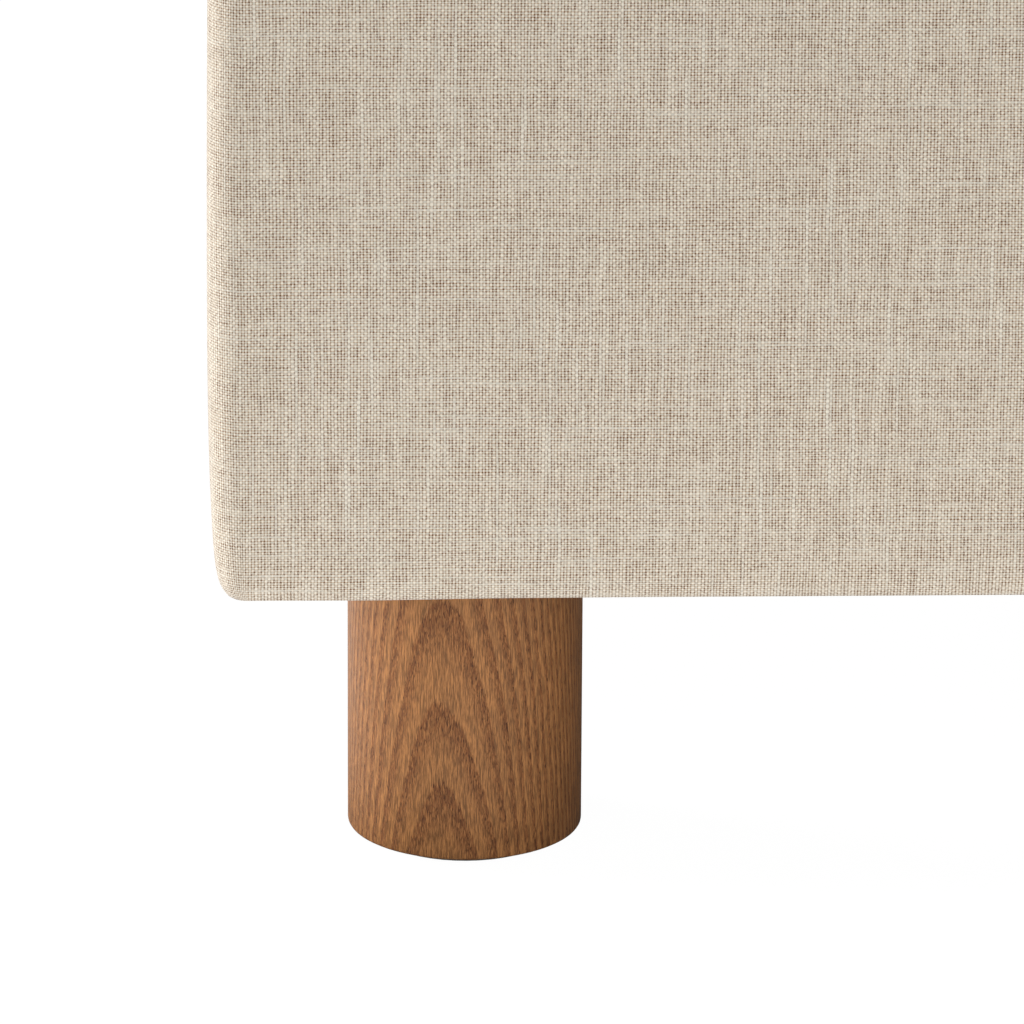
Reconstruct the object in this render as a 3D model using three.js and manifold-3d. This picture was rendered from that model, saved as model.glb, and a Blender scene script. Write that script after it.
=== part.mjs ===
// Storage ottoman: a padded, fabric-covered plywood box on four turned wooden legs. A cushioned
// lid closes it, turning on two butt hinges at the back, and two gas struts hold the lid open.
// Millimetres, +Z up, front towards -Y. Origin: centre of the overall footprint, on the floor.
import * as THREE from "three";
import { mergeVertices } from "three/addons/utils/BufferGeometryUtils.js";
import Module from "manifold-3d";

// ---- driving dimensions ----
const WIDTH = 900; // overall, side to side
const DEPTH = 500; // overall, front face to the back of the hinge knuckles
const SEAT_HEIGHT = 440; // floor to the top of the lid's crown
const BODY_UNDERSIDE = 98; // floor to the underside of the upholstered box
const RIM_HEIGHT = 335; // floor to the top of the box's rim
const LID_GAP = 4; // between the rim and the closed lid, room for the hinge leaves

const LEG_DIAMETER = 70;
const LEG_INSET = 42; // box face to the leg's side, both ways
const GLIDE_HEIGHT = 2.5;

const FABRIC = 1.5; // cover thickness with its backing
const FOAM = 9.8; // padding on the box's four faces
const PLY = 15; // panels, bottom and lid board
const LINING = 1.5; // backed lining cloth
const THIN_CLOTH = 0.8; // dust cover and the lid's lining
const FIT = 0.3; // gap between pieces that touch

const KNUCKLE_RADIUS = 3.2;
const KNUCKLE_GAP = 0.6; // box's back face to the knuckles
const LID_OPENING = (80 * Math.PI) / 180; // the struts' full extension stops the lid here

// ---- places that follow from them ----
const BACK_MARGIN = KNUCKLE_GAP + 2 * KNUCKLE_RADIUS; // how far the knuckles stand out
const HALF_X = WIDTH / 2;
const HALF_Y = (DEPTH - BACK_MARGIN) / 2; // the box's own half depth
const BOX_SHIFT_Y = -BACK_MARGIN / 2; // box centre, from the origin
const LID_UNDERSIDE = RIM_HEIGHT + LID_GAP;
const AXIS_Y = HALF_Y + KNUCKLE_GAP + KNUCKLE_RADIUS; // hinge axis, from the box centre
const AXIS_Z = RIM_HEIGHT + LID_GAP / 2;
const PADDED = FABRIC + FIT + FOAM + FIT; // cover's face to the panel's face
const LINED = PADDED + PLY + FIT; // cover's face to the lining's hidden face
const CARCASS_BOTTOM = BODY_UNDERSIDE + FABRIC + FIT;
const CARCASS_TOP = RIM_HEIGHT - FABRIC - FIT;
const FLOOR_Z = CARCASS_BOTTOM + PLY + FIT; // top of the bottom panel, with its gap
const RIM_RETURN = 25; // the cover's turn-in down the inside of the rim
const STAPLED_RETURN = 45; // the cover's turn-in under the box and under the lid
const LINING_TOP = RIM_HEIGHT - RIM_RETURN - FIT;
const POST_LEG = 20; // short side of the triangular corner posts
const LEG_TOP = BODY_UNDERSIDE - FIT - THIN_CLOTH - FIT;

const SIDES = { left: -1, right: 1 };
const ENDS = { front: -1, back: 1 };

// ---- finishes ----
const finish = (color, roughness, metalness = 0) =>
  new THREE.MeshStandardMaterial({ color, roughness, metalness });
const linen = finish("#c6b8a0", 0.95);
const liningCloth = finish("#8d8676", 0.95);
const blackCloth = finish("#2b2a28", 0.95);
const foam = finish("#e9e2c8", 0.9);
const plywood = finish("#c9a877", 0.7);
const pine = finish("#d9bd8b", 0.7);
const ash = finish("#8f6341", 0.5);
const felt = finish("#6b6560", 1);
const zinc = finish("#b8babd", 0.35, 1);
const blackSteel = finish("#1f2022", 0.4, 1);
const chrome = finish("#d5d7da", 0.12, 1);
const nylon = finish("#232427", 0.5);
const rubber = finish("#3a3a3a", 0.85);

// ---- solids: three.js geometry joined and cut by manifold-3d ----
const wasm = await Module();
wasm.setup();

function solid(geometry) {
  const flat = geometry.index ? geometry.toNonIndexed() : geometry;
  const bare = new THREE.BufferGeometry().setAttribute("position", flat.getAttribute("position"));
  const merged = mergeVertices(bare, 1e-4);
  return new wasm.Manifold(
    new wasm.Mesh({
      numProp: 3,
      vertProperties: merged.attributes.position.array,
      triVerts: new Uint32Array(merged.index.array),
    }),
  );
}

function geometryOf(shape) {
  const made = shape.getMesh();
  return new THREE.BufferGeometry()
    .setAttribute("position", new THREE.BufferAttribute(made.vertProperties, 3))
    .setIndex(new THREE.BufferAttribute(made.triVerts, 1));
}

function piece(name, shape, material) {
  const mesh = new THREE.Mesh(shape.isBufferGeometry ? shape : geometryOf(shape), material);
  mesh.name = name;
  return mesh;
}

// ---- basic shapes ----
const box = (x0, x1, y0, y1, z0, z1) =>
  new THREE.BoxGeometry(x1 - x0, y1 - y0, z1 - z0).translate(
    (x0 + x1) / 2,
    (y0 + y1) / 2,
    (z0 + z1) / 2,
  );
const cutter = (...bounds) => solid(box(...bounds));

const uprightRod = (radius, z0, z1, sides = 32) =>
  new THREE.CylinderGeometry(radius, radius, z1 - z0, sides)
    .rotateX(Math.PI / 2)
    .translate(0, 0, (z0 + z1) / 2);

const crossRod = (radius, x0, x1, y = 0, z = 0, sides = 24) =>
  new THREE.CylinderGeometry(radius, radius, x1 - x0, sides)
    .rotateZ(Math.PI / 2)
    .translate((x0 + x1) / 2, y, z);

// A closed turned form about Z, from [radius, z] points that start and end on the axis.
const turned = (profile, sides) =>
  new THREE.LatheGeometry(
    profile.map(([radius, z]) => new THREE.Vector2(radius, z)),
    sides,
  ).rotateX(Math.PI / 2);

// A rounded rectangle's outline as points, counter-clockwise from the middle of the right side.
function roundedOutline(halfX, halfY, radius) {
  const CORNER_STEPS = 6;
  const centres = [
    [halfX - radius, halfY - radius],
    [radius - halfX, halfY - radius],
    [radius - halfX, radius - halfY],
    [halfX - radius, radius - halfY],
  ];
  return centres.flatMap(([x, y], quadrant) =>
    Array.from({ length: CORNER_STEPS + 1 }, (_, step) => {
      const angle = (quadrant + step / CORNER_STEPS) * (Math.PI / 2);
      return new THREE.Vector2(x + radius * Math.cos(angle), y + radius * Math.sin(angle));
    }),
  );
}

// A closed form through level rounded rectangles: each ring is [inset, z] from the given outline.
function stackedRings(halfX, halfY, radius, rings) {
  const SHARPEST = 1; // corner radius left where the inset passes the outline's own radius
  const outlines = rings.map(([inset]) =>
    roundedOutline(halfX - inset, halfY - inset, Math.max(radius - inset, SHARPEST)),
  );
  const count = outlines[0].length;
  const positions = outlines.flatMap((points, level) =>
    points.flatMap((point) => [point.x, point.y, rings[level][1]]),
  );
  const bottomCentre = rings.length * count;
  const topCentre = bottomCentre + 1;
  positions.push(0, 0, rings[0][1], 0, 0, rings.at(-1)[1]);
  const faces = [];
  for (let i = 0; i < count; i++) {
    const next = (i + 1) % count;
    const lastRing = (rings.length - 1) * count;
    faces.push(bottomCentre, next, i, topCentre, lastRing + i, lastRing + next);
    for (let level = 0; level < rings.length - 1; level++) {
      const low = level * count;
      const high = low + count;
      faces.push(low + i, low + next, high + next, low + i, high + next, high + i);
    }
  }
  return new THREE.BufferGeometry()
    .setAttribute("position", new THREE.Float32BufferAttribute(positions, 3))
    .setIndex(faces);
}

// Rings of a block with quarter-round edges at its bottom and top.
function softEdges(z0, z1, bottomRadius, topRadius) {
  const STEPS = 3;
  const quarter = Array.from({ length: STEPS + 1 }, (_, i) => (i / STEPS) * (Math.PI / 2));
  const low = quarter.map((a) => [bottomRadius * (1 - Math.sin(a)), z0 + bottomRadius * (1 - Math.cos(a))]);
  const high = quarter.map((a) => [topRadius * (1 - Math.cos(a)), z1 - topRadius * (1 - Math.sin(a))]);
  return [...low, ...high];
}

// ---- the box: panels, padding, cover and lining ----
const CORNER_RADIUS = 12;
const LOWER_EDGE = 8;
const RIM_EDGE = 4;

function paddedBlock(offset, z0, z1) {
  const rings = softEdges(z0, z1, LOWER_EDGE - offset, Math.max(RIM_EDGE - offset, 1));
  return solid(stackedRings(HALF_X - offset, HALF_Y - offset, CORNER_RADIUS - offset, rings));
}

function panels() {
  const outerX = HALF_X - PADDED;
  const outerY = HALF_Y - PADDED;
  const made = [];
  for (const [end, sign] of Object.entries(ENDS)) {
    const faces = [sign * outerY, sign * (outerY - PLY)].sort((a, b) => a - b);
    made.push(
      piece(`${end}_panel`, box(-outerX, outerX, ...faces, CARCASS_BOTTOM, CARCASS_TOP), plywood),
    );
  }
  const between = outerY - PLY - FIT;
  for (const [side, sign] of Object.entries(SIDES)) {
    const faces = [sign * outerX, sign * (outerX - PLY)].sort((a, b) => a - b);
    made.push(
      piece(`${side}_panel`, box(...faces, -between, between, CARCASS_BOTTOM, CARCASS_TOP), plywood),
    );
  }
  return made;
}

const BOLT_RADIUS = 4; // M8
const BOLT_TOP = FLOOR_Z - FIT - 1.3;
const BOLT_IN_LEG = 38;
const TEE_FLANGE = { radius: 11, thickness: 1.6 };
const TEE_BARREL = { radius: 5.4, length: 10 };
const FLANGE_TOP = FLOOR_Z - FIT - 0.2;
const LEG_X = HALF_X - LEG_INSET - LEG_DIAMETER / 2;
const LEG_Y = HALF_Y - LEG_INSET - LEG_DIAMETER / 2;

const legPlaces = Object.entries(ENDS).flatMap(([end, sy]) =>
  Object.entries(SIDES).map(([side, sx]) => ({ name: `${end}_${side}`, x: sx * LEG_X, y: sy * LEG_Y })),
);

function bottomPanel() {
  const halfX = HALF_X - LINED;
  const halfY = HALF_Y - LINED;
  const top = CARCASS_BOTTOM + PLY;
  let panel = cutter(-halfX, halfX, -halfY, halfY, CARCASS_BOTTOM, top);
  for (const { x, y } of legPlaces) {
    const hole = uprightRod(TEE_BARREL.radius + FIT, CARCASS_BOTTOM - 1, top + 1);
    const seatDepth = TEE_FLANGE.thickness + FIT + 0.2;
    const seat = uprightRod(TEE_FLANGE.radius + FIT, top - seatDepth, top + 1);
    panel = panel.subtract(solid(hole.translate(x, y, 0))).subtract(solid(seat.translate(x, y, 0)));
  }
  return piece("bottom_panel", panel, plywood);
}

function foamSheets() {
  const offset = FABRIC + FIT;
  const inner = HALF_X - PADDED + FIT;
  const innerY = HALF_Y - PADDED + FIT;
  const all = paddedBlock(offset, CARCASS_BOTTOM, CARCASS_TOP).subtract(
    cutter(-inner, inner, -innerY, innerY, 0, SEAT_HEIGHT),
  );
  const far = WIDTH;
  const butt = innerY - FIT;
  return [
    piece("front_foam", all.intersect(cutter(-far, far, -far, -innerY, 0, far)), foam),
    piece("back_foam", all.intersect(cutter(-far, far, innerY, far, 0, far)), foam),
    piece("left_foam", all.intersect(cutter(-far, -inner, -butt, butt, 0, far)), foam),
    piece("right_foam", all.intersect(cutter(inner, far, -butt, butt, 0, far)), foam),
  ];
}

// The cover wraps the padding, turns under the box, and turns over the rim and down inside it.
function bodyCover() {
  const hidden = HALF_X - LINED;
  const hiddenY = HALF_Y - LINED;
  const shown = hidden - FABRIC;
  const shownY = hiddenY - FABRIC;
  const turnIn = cutter(-hidden, hidden, -hiddenY, hiddenY, RIM_HEIGHT - RIM_RETURN, SEAT_HEIGHT);
  const hollow = paddedBlock(FABRIC, BODY_UNDERSIDE + FABRIC, RIM_HEIGHT - FABRIC).subtract(turnIn);
  const mouth = cutter(-shown, shown, -shownY, shownY, BODY_UNDERSIDE + FABRIC, SEAT_HEIGHT);
  const under = cutter(
    STAPLED_RETURN - HALF_X,
    HALF_X - STAPLED_RETURN,
    STAPLED_RETURN - HALF_Y,
    HALF_Y - STAPLED_RETURN,
    0,
    BODY_UNDERSIDE + 2 * FABRIC,
  );
  const skin = paddedBlock(0, BODY_UNDERSIDE, RIM_HEIGHT).subtract(hollow);
  return piece("body_cover", skin.subtract(mouth).subtract(under), linen);
}

function chamferedRectangle(halfX, halfY, chamfer, path = new THREE.Shape()) {
  const corners = [
    [halfX, chamfer - halfY],
    [halfX, halfY - chamfer],
    [halfX - chamfer, halfY],
    [chamfer - halfX, halfY],
    [-halfX, halfY - chamfer],
    [-halfX, chamfer - halfY],
    [chamfer - halfX, -halfY],
    [halfX - chamfer, -halfY],
  ];
  return path.setFromPoints(corners.map(([x, y]) => new THREE.Vector2(x, y)));
}

// The lining's outline, cut across the corner posts; a larger offset is further into the box.
function liningOutline(offset, path) {
  const chamfer = POST_LEG + 0.5 - offset * (2 - Math.SQRT2);
  return chamferedRectangle(HALF_X - LINED - offset, HALF_Y - LINED - offset, chamfer, path);
}

const upright = (shape, z0, z1) =>
  new THREE.ExtrudeGeometry(shape, { depth: z1 - z0, bevelEnabled: false }).translate(0, 0, z0);

function wallLining() {
  const ring = liningOutline(0);
  ring.holes.push(liningOutline(LINING, new THREE.Path()));
  return piece("wall_lining", upright(ring, FLOOR_Z, LINING_TOP), liningCloth);
}

function floorBoard() {
  const THICKNESS = 3.5;
  return piece(
    "floor_board",
    upright(liningOutline(LINING + FIT), FLOOR_Z, FLOOR_Z + THICKNESS),
    liningCloth,
  );
}

function cornerPosts() {
  return legPlaces.map(({ name, x, y }) => {
    const sx = Math.sign(x);
    const sy = Math.sign(y);
    const cornerX = sx * (HALF_X - LINED);
    const cornerY = sy * (HALF_Y - LINED);
    const triangle = new THREE.Shape([
      new THREE.Vector2(cornerX, cornerY),
      new THREE.Vector2(cornerX - sx * POST_LEG, cornerY),
      new THREE.Vector2(cornerX, cornerY - sy * POST_LEG),
    ]);
    return piece(`${name}_post`, upright(triangle, FLOOR_Z, LINING_TOP - FIT), pine);
  });
}

function dustCover() {
  const INSET = 30;
  const z1 = BODY_UNDERSIDE - FIT;
  let sheet = cutter(
    INSET - HALF_X,
    HALF_X - INSET,
    INSET - HALF_Y,
    HALF_Y - INSET,
    z1 - THIN_CLOTH,
    z1,
  );
  for (const { x, y } of legPlaces) {
    const hole = uprightRod(BOLT_RADIUS + 1, z1 - 2, z1 + 2);
    sheet = sheet.subtract(solid(hole.translate(x, y, 0)));
  }
  return piece("dust_cover", sheet, blackCloth);
}

// ---- legs and what holds them ----
function legSet({ name, x, y }) {
  const radius = LEG_DIAMETER / 2;
  const EASE = 1; // small chamfer round both ends
  const GLIDE_RADIUS = radius - 7;
  const bottom = GLIDE_HEIGHT + FIT;
  const boreBottom = LEG_TOP - BOLT_IN_LEG - 2;
  const bore = BOLT_RADIUS + FIT;
  const leg = turned(
    [
      [0, bottom],
      [radius - EASE, bottom],
      [radius, bottom + EASE],
      [radius, LEG_TOP - EASE],
      [radius - EASE, LEG_TOP],
      [bore, LEG_TOP],
      [bore, boreBottom],
      [0, boreBottom],
    ],
    64,
  );
  const flangeBottom = FLANGE_TOP - TEE_FLANGE.thickness;
  const nut = solid(uprightRod(TEE_FLANGE.radius, flangeBottom, FLANGE_TOP))
    .add(solid(uprightRod(TEE_BARREL.radius, flangeBottom - TEE_BARREL.length, FLANGE_TOP)))
    .subtract(solid(uprightRod(bore, 0, SEAT_HEIGHT, 24)));
  const set = new THREE.Group();
  set.position.set(x, y, 0);
  set.add(
    piece(`${name}_leg`, leg, ash),
    piece(`${name}_glide`, uprightRod(GLIDE_RADIUS, 0, GLIDE_HEIGHT, 48), felt),
    piece(`${name}_hanger_bolt`, uprightRod(BOLT_RADIUS, LEG_TOP - BOLT_IN_LEG, BOLT_TOP, 24), zinc),
    piece(`${name}_tee_nut`, nut, zinc),
  );
  return set;
}

// ---- hinges ----
const HINGE_X = 270;
const HINGE_WIDTH = 60;
const LEAF_LENGTH = 26; // from the axis, towards the front
const LEAF = 1.6;
const LEAF_CLEARANCE = 0.2; // leaf to the axis plane when shut
const PIN_RADIUS = 1.6;

// Three knuckles side by side: the lower leaf has the outer two and the upper leaf the middle one.
function hingeLeaf(isUpper) {
  const third = HINGE_WIDTH / 3;
  const half = HINGE_WIDTH / 2;
  const SPLIT = 0.2; // half the gap between knuckles
  const outer = [
    [-half, -third / 2 - SPLIT],
    [third / 2 + SPLIT, half],
  ];
  const middle = [[SPLIT - third / 2, third / 2 - SPLIT]];
  const [own, other] = isUpper ? [middle, outer] : [outer, middle];
  const z0 = isUpper ? LEAF_CLEARANCE : -LEAF_CLEARANCE - LEAF;
  let leaf = cutter(-half, half, -LEAF_LENGTH, 0, z0, z0 + LEAF);
  for (const [x0, x1] of other) {
    const room = cutter(x0 - 2 * SPLIT, x1 + 2 * SPLIT, -KNUCKLE_RADIUS - 0.5, LEAF, -LEAF * 2, LEAF * 2);
    leaf = leaf.subtract(room);
  }
  for (const [x0, x1] of own) {
    leaf = leaf.add(solid(crossRod(KNUCKLE_RADIUS, x0, x1)));
  }
  return leaf.subtract(solid(crossRod(PIN_RADIUS + FIT, -HINGE_WIDTH, HINGE_WIDTH)));
}

function hingePin() {
  const half = HINGE_WIDTH / 2;
  const HEAD = { radius: 2.6, length: 1.2 };
  const shank = half + FIT;
  const end = shank + HEAD.length;
  return turned(
    [
      [0, -end],
      [HEAD.radius, -end],
      [HEAD.radius, -shank],
      [PIN_RADIUS, -shank],
      [PIN_RADIUS, shank],
      [HEAD.radius, shank],
      [HEAD.radius, end],
      [0, end],
    ],
    24,
  ).rotateY(Math.PI / 2);
}

function hingeGroup(side) {
  const group = new THREE.Group();
  group.position.set(SIDES[side] * HINGE_X, AXIS_Y, AXIS_Z);
  group.add(
    piece(`${side}_hinge_lower_leaf`, hingeLeaf(false), zinc),
    piece(`${side}_hinge_upper_leaf`, hingeLeaf(true), zinc),
    piece(`${side}_hinge_pin`, hingePin(), zinc),
  );
  return group;
}

// ---- gas struts ----
// Both pivots are the same distance from the hinge axis, so the strut turns by exactly half the
// lid's angle: the rod follows the lid by +1/2 on the box, and the tube by -1/2 on the lid.
const PIVOT_REACH = 200;
const BOX_PIVOT_DROP = (70.5 * Math.PI) / 180; // below the hinge axis, from level
const LID_PIVOT_DROP = (3 * Math.PI) / 180;
const pivot = (drop) => ({
  y: AXIS_Y - PIVOT_REACH * Math.cos(drop),
  z: AXIS_Z - PIVOT_REACH * Math.sin(drop),
});
const BOX_PIVOT = pivot(BOX_PIVOT_DROP);
const LID_PIVOT = pivot(LID_PIVOT_DROP);
const SWEEP = BOX_PIVOT_DROP - LID_PIVOT_DROP;
const SHUT_LENGTH = 2 * PIVOT_REACH * Math.sin(SWEEP / 2);
const OPEN_LENGTH = 2 * PIVOT_REACH * Math.sin((SWEEP + LID_OPENING) / 2);
const STRUT_LEAN = Math.atan2(BOX_PIVOT.y - LID_PIVOT.y, LID_PIVOT.z - BOX_PIVOT.z);

const LINING_FACE = HALF_X - LINED - LINING; // the lining's shown face, on the side walls
const STUD = { radius: 3.8, headRadius: 5.5, head: 1.5, shoulderRadius: 6 };
const STUD_TIP = LINING_FACE - 21.3; // inner end of the stud's head
const EYE = { radius: 8, width: 11, bore: STUD.radius + FIT, neck: 14 };
const STRUT_X = STUD_TIP + STUD.head + 0.8 + EYE.width / 2;
const TUBE = { radius: 9, bore: 7.9, mouth: 4.4, guide: 6 };
const ROD_RADIUS = 4;
const TUBE_END = SHUT_LENGTH - 16; // from the lid pivot
const PISTON = { radius: 7.4, length: 7, from: OPEN_LENGTH - TUBE_END + TUBE.guide + 1 };

// A stud that points to the middle of the box, from x0 at its shoulder. Drawn for the right side.
function stud(fromX) {
  const shoulderEnd = STRUT_X + EYE.width / 2 + 0.6;
  return solid(crossRod(STUD.radius, STUD_TIP, fromX))
    .add(solid(crossRod(STUD.headRadius, STUD_TIP, STUD_TIP + STUD.head)))
    .add(solid(crossRod(STUD.shoulderRadius, shoulderEnd, fromX)));
}

function lowerBracket() {
  const PLATE = { thickness: 2.3, halfY: 13, halfZ: 19 };
  const x1 = LINING_FACE - FIT;
  const x0 = x1 - PLATE.thickness;
  return stud(x1).add(cutter(x0, x1, -PLATE.halfY, PLATE.halfY, -PLATE.halfZ, PLATE.halfZ));
}

function upperBracket() {
  const PLATE = { thickness: 1.6, halfY: 22, width: 22 };
  const TAB = { thickness: 2, halfY: 9, below: 8 };
  const x1 = LINING_FACE - 3.3;
  const top = LID_UNDERSIDE - FIT - THIN_CLOTH - FIT - LID_PIVOT.z;
  const plate = cutter(x1 - PLATE.width, x1, -PLATE.halfY, PLATE.halfY, top - PLATE.thickness, top);
  const tab = cutter(x1 - TAB.thickness, x1, -TAB.halfY, TAB.halfY, -TAB.below, top);
  return stud(x1).add(plate).add(tab);
}

// The moulded end that snaps on a stud, along +Z from the eye's centre.
function socket() {
  return solid(crossRod(EYE.radius, -EYE.width / 2, EYE.width / 2))
    .add(solid(uprightRod(5, 0, EYE.neck, 24)))
    .subtract(solid(crossRod(EYE.bore, -EYE.width, EYE.width)));
}

function tube() {
  const start = EYE.neck + FIT;
  const floor = start + 6;
  return turned(
    [
      [0, start],
      [TUBE.radius, start],
      [TUBE.radius, TUBE_END],
      [TUBE.mouth, TUBE_END],
      [TUBE.mouth, TUBE_END - TUBE.guide],
      [TUBE.bore, TUBE_END - TUBE.guide],
      [TUBE.bore, floor],
      [0, floor],
    ],
    32,
  );
}

function rod() {
  const start = EYE.neck + FIT;
  const end = PISTON.from + PISTON.length;
  return turned(
    [
      [0, start],
      [ROD_RADIUS, start],
      [ROD_RADIUS, PISTON.from],
      [PISTON.radius, PISTON.from],
      [PISTON.radius, end],
      [0, end],
    ],
    32,
  );
}

function strutGroup(side) {
  const group = new THREE.Group();
  const sx = SIDES[side];
  const atBox = new THREE.Group();
  atBox.position.set(sx * STRUT_X, BOX_PIVOT.y, BOX_PIVOT.z);
  atBox.rotation.x = STRUT_LEAN;
  atBox.add(piece(`${side}_rod_socket`, socket(), nylon), piece(`${side}_strut_rod`, rod(), chrome));
  const atLid = new THREE.Group();
  atLid.position.set(sx * STRUT_X, LID_PIVOT.y, LID_PIVOT.z);
  atLid.rotation.x = STRUT_LEAN + Math.PI;
  atLid.add(piece(`${side}_tube_socket`, socket(), nylon), piece(`${side}_strut_tube`, tube(), blackSteel));
  const turn = sx > 0 ? 0 : Math.PI; // the left side's brackets are the right side's, turned round
  const brackets = [
    [piece(`${side}_lower_bracket`, lowerBracket(), blackSteel), BOX_PIVOT],
    [piece(`${side}_upper_bracket`, upperBracket(), blackSteel), LID_PIVOT],
  ];
  for (const [bracket, at] of brackets) {
    bracket.position.set(0, at.y, at.z);
    bracket.rotation.z = turn;
    group.add(bracket);
  }
  group.add(atBox, atLid);
  return group;
}

// ---- the lid ----
const LID_CORNER = 16;
const BOARD_MARGIN = 8; // the cover's outer face to the lid board's edge
const BOARD_CORNER = 10;
const BOARD_BOTTOM = LID_UNDERSIDE + FABRIC + FIT;

// The cushion's rings, at a distance inside the cover's outer face: small lower edges, straight
// sides, a round shoulder and a low crown.
function cushionRings(offset, bottom) {
  const SHOULDER = 22;
  const CROWN = 7; // the middle of the top, above the shoulder
  const LOWER = 5;
  const crownBase = SEAT_HEIGHT - CROWN;
  const side = softEdges(bottom, crownBase - offset, Math.max(LOWER - offset, 1), SHOULDER - offset);
  const crown = [0.3, 0.6, 1].map((t) => [
    SHOULDER - offset + t * (HALF_Y * 0.75 - SHOULDER),
    crownBase - offset + CROWN * Math.sin((t * Math.PI) / 2),
  ]);
  return [...side, ...crown];
}

const cushion = (offset, bottom) =>
  solid(
    stackedRings(HALF_X - offset, HALF_Y - offset, LID_CORNER - offset, cushionRings(offset, bottom)),
  );

function boardBlock(grow, z0, z1) {
  const margin = BOARD_MARGIN - grow;
  const outline = roundedOutline(HALF_X - margin, HALF_Y - margin, BOARD_CORNER + grow);
  return upright(new THREE.Shape(outline), z0, z1);
}

function lidFoam() {
  const pocket = boardBlock(FIT, LID_UNDERSIDE, BOARD_BOTTOM + PLY + FIT);
  return piece("lid_foam", cushion(FABRIC + FIT, BOARD_BOTTOM).subtract(solid(pocket)), foam);
}

function lidCover() {
  const under = cutter(
    STAPLED_RETURN - HALF_X,
    HALF_X - STAPLED_RETURN,
    STAPLED_RETURN - HALF_Y,
    HALF_Y - STAPLED_RETURN,
    RIM_HEIGHT,
    LID_UNDERSIDE + 2 * FABRIC,
  );
  const skin = cushion(0, LID_UNDERSIDE).subtract(cushion(FABRIC, LID_UNDERSIDE + FABRIC));
  return piece("lid_cover", skin.subtract(under), linen);
}

function lidLining() {
  const INSET = 32;
  const z1 = LID_UNDERSIDE - FIT;
  const sheet = box(
    INSET - HALF_X,
    HALF_X - INSET,
    INSET - HALF_Y,
    HALF_Y - INSET,
    z1 - THIN_CLOTH,
    z1,
  );
  return piece("lid_lining", sheet, liningCloth);
}

function rimBumper(side) {
  const RADIUS = 6;
  const FROM_EDGE = 14;
  const button = uprightRod(RADIUS, RIM_HEIGHT + FIT, LID_UNDERSIDE - FIT, 24);
  button.translate(SIDES[side] * (HALF_X - FROM_EDGE), FROM_EDGE - HALF_Y, 0);
  return piece(`${side}_rim_bumper`, button, rubber);
}

// ---- assembly ----
const ottoman = new THREE.Group();
ottoman.position.y = BOX_SHIFT_Y;
ottoman.add(
  ...panels(),
  bottomPanel(),
  ...foamSheets(),
  bodyCover(),
  wallLining(),
  floorBoard(),
  ...cornerPosts(),
  dustCover(),
  ...legPlaces.map(legSet),
  piece("lid_board", boardBlock(0, BOARD_BOTTOM, BOARD_BOTTOM + PLY), plywood),
  lidFoam(),
  lidCover(),
  lidLining(),
);
for (const side of Object.keys(SIDES)) {
  ottoman.add(hingeGroup(side), strutGroup(side), rimBumper(side));
}

export default ottoman;
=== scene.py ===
import math
from collections import namedtuple
from itertools import product

import bmesh
import bpy
from mathutils import Matrix, Vector, noise


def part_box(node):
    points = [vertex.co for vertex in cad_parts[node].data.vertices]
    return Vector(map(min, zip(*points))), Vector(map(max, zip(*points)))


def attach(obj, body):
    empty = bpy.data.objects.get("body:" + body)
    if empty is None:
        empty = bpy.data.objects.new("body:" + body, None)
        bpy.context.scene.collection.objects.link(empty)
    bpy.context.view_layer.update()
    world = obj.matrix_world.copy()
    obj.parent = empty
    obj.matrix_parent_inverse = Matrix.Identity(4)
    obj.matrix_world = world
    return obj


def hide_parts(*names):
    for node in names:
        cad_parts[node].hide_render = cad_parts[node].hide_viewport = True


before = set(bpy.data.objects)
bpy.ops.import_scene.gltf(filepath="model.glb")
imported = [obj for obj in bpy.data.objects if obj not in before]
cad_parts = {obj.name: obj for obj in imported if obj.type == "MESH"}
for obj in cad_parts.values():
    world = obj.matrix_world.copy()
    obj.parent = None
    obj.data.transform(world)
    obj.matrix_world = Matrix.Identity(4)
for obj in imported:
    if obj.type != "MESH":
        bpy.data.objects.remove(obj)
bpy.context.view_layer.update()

MM = 0.001
SIDES = {"left": -1, "right": 1}
CORNERS = list(product(("front", "back"), SIDES))


def middle_of(node):
    low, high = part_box(node)
    return (low + high) / 2


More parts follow.
